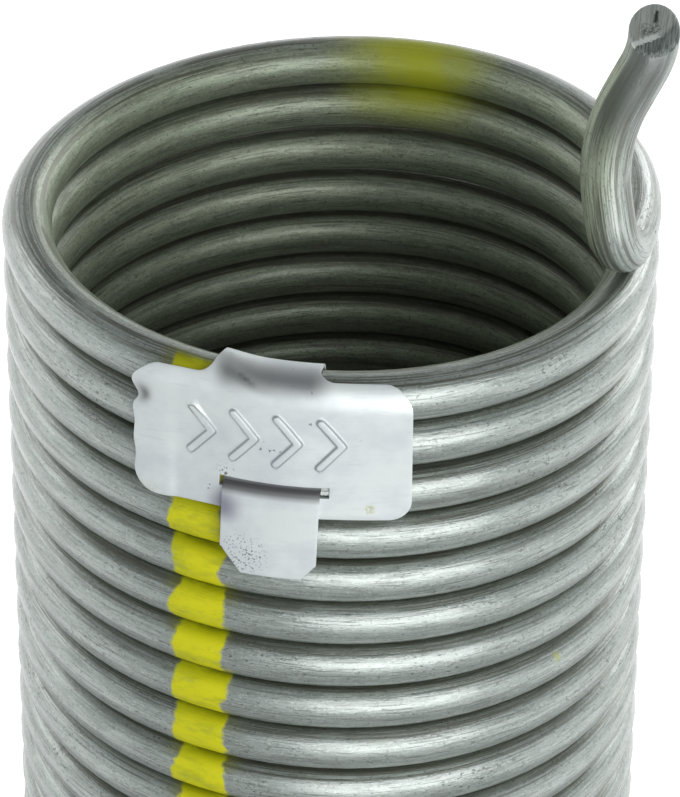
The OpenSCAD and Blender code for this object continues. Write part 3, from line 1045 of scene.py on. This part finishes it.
bend_z = TONGUE_Z + INNER_R
links = [
    straight(PLATE_R, -PLATE_DROP, 0.0, 1.0, PLATE_DROP),
    curl(MEAN_R, 0.0, FOLD_R, 0.0, 180.0),
    straight(INNER_X, 0.0, 0.0, -1.0, -bend_z),
    curl(INNER_X + INNER_R, bend_z, INNER_R, 180.0, 90.0),
    straight(INNER_X + INNER_R, TONGUE_Z, 1.0, 0.0, SADDLE_X - INNER_X - INNER_R),
    curl(SADDLE_X, TONGUE_Z - SADDLE_R, SADDLE_R, 90.0, -SLOPE_DEGREES, inward=True),
    straight(slope_x, slope_z, math.cos(SLOPE), -math.sin(SLOPE), slope_run),
    curl(TAB_X - TAB_R, tab_z, TAB_R, 90.0 - SLOPE_DEGREES, SLOPE_DEGREES - 90.0, inward=True),
    straight(TAB_X, tab_z, 0.0, -1.0, TAB),
]
total = sum(length for length, _ in links)


def on_section(s):
    """Where the sheet's middle is in section at a distance from the plate's bottom edge."""
    for length, at in links:
        if s <= length or at is links[-1][1]:
            return at(s)
        s -= length


print("the blank is", round(total * 1000, 1), "mm long")

# %% [markdown]
# ## The blank
#
# The flat sheet is a plate with round corners and a slot, and a long tongue that ends in a tab with
# bevelled corners. The plate's upper corners and the fillets beside the tongue lie where the sheet
# rolls over the wire, so they are drawn as they look from the front or above and then measured
# back along the roll.

# %% Draw the blank's outline
ARC_STEPS, FILLET_STEPS = 8, 10
FILLET_RIGHT, FILLET_LEFT = 1.6 * MM, 3.3 * MM


def corner_arc(u, s, start):
    """Points of a quarter circle, measured round the coil and along the sheet."""
    angles = [math.radians(start + 90 * k / ARC_STEPS) for k in range(ARC_STEPS + 1)]
    return [(u + CORNER * math.cos(a), s + CORNER * math.sin(a)) for a in angles]


def along_roll(height):
    """Distance along the sheet at a height above the first turn's middle, where it rolls over."""
    return PLATE_DROP + FOLD_R * math.asin(max(-1.0, min(1.0, height / FOLD_R)))


def root_fillet(side, radius):
    """The fillet between the tongue and the plate's rolled top edge, as seen from above."""
    edge = TONGUE_SHIFT + side * TONGUE_W / 2
    rim = MEAN_R + FOLD_R * math.cos(PLATE_ROLL)
    points = []
    for k in range(FILLET_STEPS + 1):
        a = math.radians(90.0 * k / FILLET_STEPS)
        u = edge + side * radius * (1 - math.sin(a))
        inward = rim - radius * (1 - math.cos(a))
        share = max(-1.0, min(1.0, (inward - MEAN_R) / FOLD_R))
        points.append((u, PLATE_DROP + FOLD_R * math.acos(share)))
    return points


wide, top = PLATE_W / 2, PLATE_DROP + FOLD_R * PLATE_ROLL
left_edge, right_edge = TONGUE_SHIFT - TONGUE_W / 2, TONGUE_SHIFT + TONGUE_W / 2
crown = FOLD_R * math.sin(PLATE_ROLL) - CORNER
upper_right = [(u, along_roll(s)) for u, s in corner_arc(wide - CORNER, crown, 0)]
upper_left = [(-u, s) for u, s in upper_right[::-1]]
outline = corner_arc(-wide + CORNER, CORNER, 180) + corner_arc(wide - CORNER, CORNER, 270)
outline += upper_right + root_fillet(1, FILLET_RIGHT)
outline += [(right_edge, total - 2.1 * MM), (right_edge - 1.7 * MM, total)]
outline += [(left_edge + 2.6 * MM, total), (left_edge, total - 3.4 * MM)]
outline += root_fillet(-1, FILLET_LEFT)[::-1] + upper_left
slot_left, slot_right = left_edge - SLOT_LEFT, right_edge + SLOT_RIGHT
slot_low, slot_high = PLATE_DROP + slot_bottom, PLATE_DROP + slot_top
slot = [(slot_left, slot_low), (slot_left, slot_high), (slot_right, slot_high),
        (slot_right, slot_low)]
print(len(outline), "corners in the outline")

# %% [markdown]
# ## Fine triangles in the blank
#
# A flat face can't bend, so the outline has to be filled with small faces of much the same size.
# A grid cut by the outline would leave slivers along the rim. So rows of points are laid inside the
# outline, clear of its rim, and closer together where the pressed marks will stand.

# %% Lay rows of points in the blank
COARSE_STEP, FINE_STEP, RIM_CLEARANCE = 0.4 * MM, 0.16 * MM, 0.22 * MM
MARKS_S = PLATE_DROP - 4.3 * MM
MARKS_WIDE, MARKS_TALL = 11.5 * MM, 3.6 * MM


def stepped(loop):
    """The loop with points added along its long edges."""
    points = []
    for (u0, s0), (u1, s1) in zip(loop, loop[1:] + loop[:1]):
        count = max(1, round(math.hypot(u1 - u0, s1 - s0) / COARSE_STEP))
        points += [(u0 + (u1 - u0) * k / count, s0 + (s1 - s0) * k / count) for k in range(count)]
    return points


def inside(loop, u, s):
    """Whether a point is inside a loop, from how many edges lie to one side of it."""
    hit = False
    for (u0, s0), (u1, s1) in zip(loop, loop[1:] + loop[:1]):
        if (s0 > s) != (s1 > s) and u < u0 + (s - s0) * (u1 - u0) / (s1 - s0):
            hit = not hit
    return hit


def in_sheet(u, s):
    return inside(outline, u, s) and not inside(slot, u, s)


def clear_of(loop_points, gap):
    """A test of whether a point is at least a gap away from every point of a loop."""
    cells = {}
    for u, s in loop_points:
        cells.setdefault((int(u // gap), int(s // gap)), []).append((u, s))

    def test(u, s):
        i, j = int(u // gap), int(s // gap)
        around = [(a, b) for a in (i - 1, i, i + 1) for b in (j - 1, j, j + 1)]
        near = (point for cell in around for point in cells.get(cell, ()))
        return all(math.hypot(u - a, s - b) > gap for a, b in near)
    return test


rim_points, slot_points = stepped(outline), stepped(slot)
is_clear = clear_of(rim_points + slot_points, RIM_CLEARANCE)
fill = []
for step, marked in ((COARSE_STEP, False), (FINE_STEP, True)):
    for j in range(int(total / step) + 1):
        for i in range(-int(wide / step) - 1, int(wide / step) + 2):
            u, s = (i + 0.5 * (j % 2)) * step, (j + 0.5) * step
            at_marks = abs(u) < MARKS_WIDE and abs(s - MARKS_S) < MARKS_TALL
            if at_marks == marked and is_clear(u, s) and in_sheet(u, s):
                fill.append((u, s))
print(len(rim_points) + len(slot_points), "points on the rims and", len(fill), "inside")

# %% [markdown]
# ## Triangles in the blank
#
# A Delaunay triangulation joins the points into the roundest triangles that it can, and keeps to
# the two rims. It also fills the slot and the hollows of the outline, and those triangles go.

# %% Join the points in triangles
flat = [Vector(p) for p in rim_points + slot_points + fill]
loops = [(0, len(rim_points)), (len(rim_points), len(rim_points) + len(slot_points))]
edges = [(i, i + 1 if i + 1 < end else start) for start, end in loops for i in range(start, end)]
flat, _, triangles, _, _, _ = delaunay_2d_cdt(flat, edges, [], 0, 1e-9)
triangles = [t for t in triangles if in_sheet(*(sum(flat[i][k] for i in t) / 3 for k in (0, 1)))]
print(len(flat), "points and", len(triangles), "triangles in the blank")

# %% [markdown]
# ## Pressed marks
#
# The real tag carries pressed marks. Four plain chevrons stand here in their place and point the
# way the coil turns. They are real relief, not bump, because they catch the light from the side.

# %% Press the chevrons
CHEVRONS, CHEVRON_STEP, CHEVRON_W, CHEVRON_H = 4, 5.0 * MM, 2.4 * MM, 6.0 * MM
STROKE_FLAT, STROKE_FOOT, PRESS_HEIGHT = 0.32 * MM, 0.64 * MM, 0.32 * MM


def soft_step(value, low, high):
    """0 below low, 1 above high, and a soft step between them."""
    t = max(0.0, min(1.0, (value - low) / (high - low)))
    return t * t * (3 - 2 * t)


def to_line(u, s, a, b):
    """Distance from a point to a straight stroke."""
    du, ds = b[0] - a[0], b[1] - a[1]
    t = max(0.0, min(1.0, ((u - a[0]) * du + (s - a[1]) * ds) / (du * du + ds * ds)))
    return math.hypot(u - a[0] - t * du, s - a[1] - t * ds)


strokes = []
for k in range(CHEVRONS):
    middle = (k - (CHEVRONS - 1) / 2) * CHEVRON_STEP
    nose = (middle + CHEVRON_W / 2, MARKS_S)
    strokes += [(nose, (middle - CHEVRON_W / 2, MARKS_S + end * CHEVRON_H / 2)) for end in (1, -1)]


def pressing(u, s):
    """How fully the chevrons' die lifts the sheet at a point of the blank, from 0 to 1."""
    if abs(s - MARKS_S) > CHEVRON_H / 2 + 1.5 * MM:
        return 0.0
    return 1 - soft_step(min(to_line(u, s, a, b) for a, b in strokes), STROKE_FLAT, STROKE_FOOT)


print(len(strokes), "strokes in", CHEVRONS, "chevrons")

# %% [markdown]
# ## Waves and dents
#
# The sheet is thin and was bent by hand, so it is not quite true. The plate waves by less than a
# tenth of a millimetre, its free ends spring off the coil, one side is dented, the fold has a
# slanted crease, and a thumb left a hollow on the tab. They could be sculpted, but as plain
# functions of the place on the blank they bend with the sheet.

# %% Wave and dent the sheet
def dimple(u, s, at_u, at_s, wide, tall):
    """A soft dimple about a point of the blank, 1 at its middle."""
    return math.exp(-((u - at_u) / wide) ** 2 - ((s - at_s) / tall) ** 2)


def band(s, at_s, tall):
    """A soft band across the whole blank, 1 at its middle."""
    return dimple(0.0, s, 0.0, at_s, 1.0, tall)


def crease(u, s, tall):
    """A slanted crease in the fold."""
    return dimple(u, s + 0.45 * u, -2.3 * MM, PLATE_DROP + 2.0 * MM, 2.1 * MM, tall)


def wave(u, s):
    """How far the sheet stands off its true place: a slow wave, the crease and two hollows."""
    creased = -0.35 * MM * crease(u, s, 0.65 * MM)
    if s > top:
        return creased - 0.22 * MM * dimple(u, s, -4.0 * MM, total - 9.0 * MM, 1.5 * MM, 1.4 * MM)
    slow = 0.07 * MM * math.sin(u * 310 + 0.7) * math.sin(s * 260 + 0.4)
    dent = -0.30 * MM * dimple(u, s, -15.8 * MM, 13.4 * MM, 1.5 * MM, 1.2 * MM)
    return creased + soft_step(top - s, 0.0, 4 * MM) * (slow + dent)


def springs_out(u):
    """How far the plate's free ends stand off the round of the coil."""
    if u < 0:
        return 1.5 * MM * max(0.0, (-u - 5 * MM) / (11.5 * MM)) ** 2
    return 0.7 * MM * max(0.0, (u - 7 * MM) / (9.5 * MM)) ** 2


print("the left end springs out by", round(springs_out(-wide) * 1000, 2), "mm")

# %% [markdown]
# ## Lean and painted shade
#
# The tag was hooked on by hand, so the plate's ends and the tongue lean a little, and the left edge
# is nicked. Painted shade and painted dark reflection lie over the fold, along the crease, at the
# tab's bend and in a dent. How much of it each point has gets stored with the sheet, for the finish
# to read.

# %% Lean the sheet and store its painted shade
def skewed(u, s):
    """Where a point ends up round the coil: the ends and the tongue lean, the left is nicked."""
    lean = (0.068 if u < 0 else 0.045) * (PLATE_DROP - s) + (0.8 * MM if u < 0 else -0.1 * MM)
    if s >= top + 3 * MM:
        lean = 0.0
    nick = soft_step(-u, 14.0 * MM, 16.5 * MM) * (
        0.55 * MM * band(s, 12.9 * MM, 0.8 * MM) - 0.30 * MM * band(s, 15.2 * MM, 1.2 * MM)
        + 0.10 * MM * math.sin(s * 1500))
    fold_lean = -0.95 * MM * (soft_step(s, PLATE_DROP - 3 * MM, PLATE_DROP + 5 * MM)
                              - soft_step(s, PLATE_DROP + 10 * MM, PLATE_DROP + 18 * MM))
    tongue_lean = fold_lean * (1 - soft_step(abs(u - TONGUE_SHIFT), 5 * MM, 9 * MM))
    return u + soft_step(abs(u), 9.5 * MM, 13.5 * MM) * lean + nick + tongue_lean


def painted_shade(u, s):
    """Painted shade and dark reflection on the sheet: over the fold, along the crease, the tab's
    bend, a dent.
    """
    fold = 0.72 * band(s, PLATE_DROP + FOLD_R * 0.95, 1.7 * MM)
    fold *= 1 - soft_step(abs(u - TONGUE_SHIFT) - TONGUE_W / 2, -1.0 * MM, 1.8 * MM)
    tab_bend = 0.97 * soft_step(s, total - TAB - 1.9 * MM, total - TAB - 1.1 * MM) * (
        1 - soft_step(s, total - TAB - 0.5 * MM, total - TAB + 0.6 * MM))
    dent = 0.8 * dimple(u, s, -15.6 * MM, 13.6 * MM, 0.9 * MM, 1.4 * MM)
    return max(fold, 0.9 * crease(u, s, 0.62 * MM), tab_bend, dent)


print("the left end's lower corner leans by", round((skewed(-wide, 0.0) + wide) * 1000, 2), "mm")

# %% [markdown]
# ## The folded sheet
#
# Every point of the blank goes through the fold twice, once for each face of the sheet, and a strip
# of faces along the rims joins the two. Round the plate the sheet follows the coil, and the tongue
# keeps its own width inside it. A sheared rim is a little blunt, which a small bevel gives.

# %% Fold the tag and blunt its edges
EDGE_BLUNT = 0.06 * MM
tag_place = (Matrix.Translation((0.0, 0.0, coil_top - 0.75 * FALL)) @ turned("Z", 180)
             @ turned("Y", -TILT))


def folded(u, s, off):
    """A point of the blank after the fold, off the sheet's middle by a distance."""
    s -= 0.9 * MM * soft_step(-u, 5.5 * MM, 9 * MM) * soft_step(s, PLATE_DROP - 5 * MM, top)
    x, z, out_x, out_z = on_section(s)
    off += PRESS_HEIGHT * pressing(u, s) + wave(u, s)
    reach, height = x + out_x * off, z + out_z * off
    off_plate = soft_step(s - top, 0.0, 1.5 * MM)
    beside = soft_step(abs(u - TONGUE_SHIFT) - TONGUE_W / 2, 0.0, 3.3 * MM)
    on_tongue = 1 - beside * (1 - off_plate)
    reach += springs_out(u) * (1 - off_plate)
    if s > total - TAB - 3 * MM:
        u += 0.3 * MM
    turn = math.pi / 2 + skewed(u, s) / (PLATE_R + (x - PLATE_R) * on_tongue)
    height += (0.45 * MM * soft_step(-u, 0.0, 5.5 * MM)
               * band(s, PLATE_DROP + FOLD_R * 1.6, 3.0 * MM))
    point = tag_place @ Vector((reach * math.cos(turn), reach * math.sin(turn), height))
    point.y = max(point.y, solid_bounds[0][1] + 0.01 * MM)
    return point


count = len(flat)
points = [folded(u, s, side * SHEET / 2) for side in (1, -1) for u, s in flat]
faces = [tuple(t) for t in triangles] + [tuple(i + count for i in reversed(t)) for t in triangles]
sides = {(a, b): True for t in triangles for a, b in zip(t, t[1:] + t[:1])}
rim = [(a, b) for a, b in sides if (b, a) not in sides]
faces += [(a, a + count, b + count, b) for a, b in rim]
tag_mesh = bpy.data.meshes.new("folded_tag")
tag_mesh.from_pydata([tuple(p) for p in points], [], faces)
for name, amount in (("pressing", pressing), ("painted_shade", painted_shade)):
    values = [amount(u, s) for u, s in flat]
    layer = tag_mesh.attributes.new(name, "FLOAT", "POINT")
    layer.data.foreach_set("value", values + values)
tag_mesh.validate()
for face in tag_mesh.polygons:
    face.use_smooth = True
tag_draft = bpy.data.objects.new("tag_draft", tag_mesh)
bpy.context.scene.collection.objects.link(tag_draft)
blunt = tag_draft.modifiers.new("blunt_edges", "BEVEL")
blunt.width, blunt.segments, blunt.limit_method = EDGE_BLUNT, 2, "ANGLE"
blunt.angle_limit = math.radians(50)
blunt.use_clamp_overlap = True
tag = plain_mesh(tag_draft, "folded_tag")
tag.data.calc_loop_triangles()
print("the tag has", len(tag.data.loop_triangles), "triangles and", len(rim), "edges round its rim")

# %% [markdown]
# ## The tag's aluminium
#
# Mill-finish aluminium is bright and a little blue, with fine rolling lines, hair scratches and
# smudges. The rolling lines are noise on Object coordinates, squeezed in height and stretched round
# the coil. Grease and zinc dust gather beside the slot and on the tab, painted violet shade darkens
# the dent in the tab's upper corner, and some of the yellow spray lies on the plate.

# %% Mix the aluminium and its marks
tag_finish = bpy.data.materials.new("mill_aluminium")
tree, place = clean_tree(tag_finish)
place = place.outputs["Object"]
rolling = noise(tree, place, (120.0, 120.0, 5200.0), 3.0, 0.6)
smudge = noise(tree, place, (160.0, 160.0, 220.0), 4.0, 0.55)
scratch = noise(tree, place, (350.0, 350.0, 2600.0), 2.0, 0.4)
specks = noise(tree, place, (1500.0, 1500.0, 1500.0), 2.0, 0.5)
crumbs = noise(tree, place, (3400.0, 3400.0, 3400.0), 2.0, 0.5)


def near_point(x, y, below_top, size, softness=1.0):
    """1 within a size in millimetres of a point and 0 beyond it, with a soft edge."""
    reach = distance_from(tree, place, x, y, below_top, size)
    return fade(tree, reach, 1.0 - 0.5 * softness, 1.0 + 0.5 * softness)


greasy = highest(tree, near_point(-3.0, -40.7, 24.94, 2.7), near_point(-4.9, -39.9, 13.74, 1.0))
grease = highest(tree, product(tree, greasy, ramp(tree, crumbs, 0.59, 0.65)),
                 product(tree, ramp(tree, specks, 0.70, 0.73), ramp(tree, smudge, 0.52, 0.66)))
paint = highest(tree, near_point(11.6, -38.5, 18.14, 0.6),
                product(tree, near_point(-14.4, -37.6, 19.44, 2.4), 0.6))
metal = blend_colours(tree, ramp(tree, smudge, 0.35, 0.7), (0.82, 0.875, 0.875),
                      (0.70, 0.755, 0.775))
paint = product(tree, paint, ramp(tree, crumbs, 0.40, 0.60))
# painted shade: a violet darkening over the dent in the tab's upper corner
dent_shade = near_point(-5.1, -40.5, 18.24, 1.7, 1.6)
metal_tints = (
    (ramp(tree, scratch, 0.62, 0.74), 0.1, (0.42, 0.44, 0.47)),   # hair scratches
    (grease, 0.8, (0.06, 0.055, 0.045)),
    (dent_shade, 0.75, (0.19, 0.19, 0.27)),
    (paint, 0.55, (0.42, 0.43, 0.06)),
)
for mask, strength, colour in metal_tints:
    metal = tint(tree, metal, mask, strength, colour)
print("the aluminium is mixed with", len(tree.nodes), "nodes")

# %% [markdown]
# ## Painted shade on the tag
#
# Painted shade lies round the foot of each pressed mark, and painted shade and dark reflection lie
# over the folds. Both follow the sheet and not the room, so they are read from the values stored on
# its points.

# %% Set the tag's painted shade and gloss
def stored_value(name):
    """A value stored on the piece's own points."""
    node = put(tree, "ShaderNodeAttribute", attribute_type="GEOMETRY")
    node.attribute_name = name
    return node.outputs["Fac"]


pressed_in = stored_value("pressing")
# painted shade round the foot of each pressed mark
mark_foot_shade = product(tree, pressed_in, 4.0, without(tree, pressed_in))
metal = tint(tree, metal, mark_foot_shade, 0.75, (0.17, 0.18, 0.19))
# painted shade and painted dark reflection over the fold, the crease, the tab's bend and a dent
metal = blend_colours(tree, stored_value("painted_shade"), metal, (0.075, 0.075, 0.08))
sheen = put(tree, "ShaderNodeBsdfPrincipled")
feed(tree, sheen.inputs["Base Color"], metal)
sheen.inputs["Metallic"].default_value = 0.45
feed(tree, sheen.inputs["Roughness"], total_of(tree, 0.42, product(tree, smudge, 0.2)))
add_bump(tree, sheen, "Normal", total_of(tree, rolling, product(tree, smudge, 1.5)), 0.35, 0.00003)
feed(tree, put(tree, "ShaderNodeOutputMaterial").inputs["Surface"], sheen.outputs[0])
tag.data.materials.clear()
tag.data.materials.append(tag_finish)
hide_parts("marking_tag")
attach(tag, "root")
print("the tag's finish has", len(tree.nodes), "nodes")

# %% [markdown]
# ## The sizes
#
# The bounds of the solids and of what was made here are printed. What was made here has
# to stay inside the solid model's box.

# %% Print the sizes
dressed_bounds = [[float(c) for c in corner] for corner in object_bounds()]
for name, bounds in (("solids", solid_bounds), ("dressed", dressed_bounds)):
    print(name, [[round(1000 * c, 2) for c in corner] for corner in bounds])
